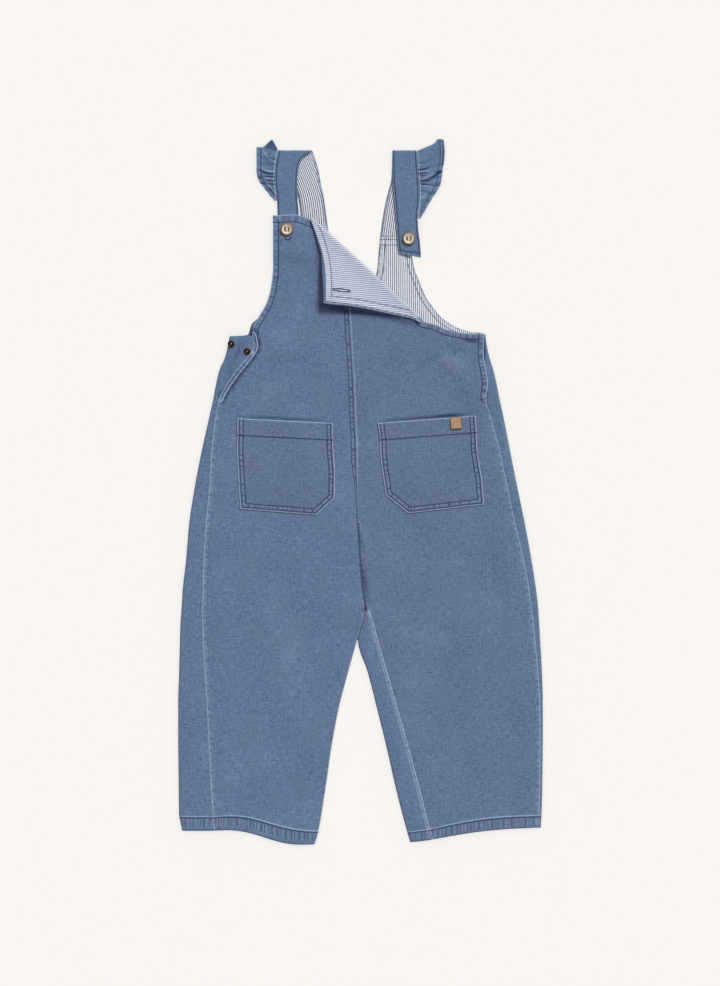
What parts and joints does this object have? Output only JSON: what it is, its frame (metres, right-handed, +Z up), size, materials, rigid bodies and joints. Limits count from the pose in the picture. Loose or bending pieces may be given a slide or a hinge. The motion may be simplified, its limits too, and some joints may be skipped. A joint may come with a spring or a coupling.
{
  "type": "kids dungarees",
  "caption": "Child's denim dungarees laid flat, one bib corner turned down over a striped facing, with ruffled shoulder straps, patch pockets and a snapped side opening.",
  "frame": {"origin": "middle of the garment's outline, on the surface it lies on", "axes": "+X to the right as seen from above, +Y from the leg hems towards the shoulders, +Z up from the surface, out of the garment's front"},
  "size_m": [0.4188, 0.81, 0.0102],
  "materials": {
    "washed_denim": "washed mid-blue twill, matt, with paler abraded seam edges",
    "striped_ticking": "narrow navy and off-white woven stripe, matt",
    "horn": "horn-effect resin, satin",
    "antique_brass": "antiqued, satin",
    "tan_leather": "natural tan, matt, bare"
  },
  "bodies": {
    "root": {"front_left": "washed_denim", "front_right": "washed_denim", "back_left": "washed_denim", "back_right": "washed_denim", "bib_facing": "striped_ticking", "back_facing": "striped_ticking", "strap_left": "washed_denim", "strap_right": "washed_denim", "strap_lining_left": "striped_ticking", "strap_lining_right": "striped_ticking", "ruffle_left": "washed_denim", "ruffle_right": "washed_denim", "pocket_left": "washed_denim", "pocket_right": "washed_denim", "pocket_label": "tan_leather", "strap_button_left": "horn", "strap_button_right": "horn", "side_snap_outer": "antique_brass", "side_snap_inner": "antique_brass"}
  },
  "joints": []
}
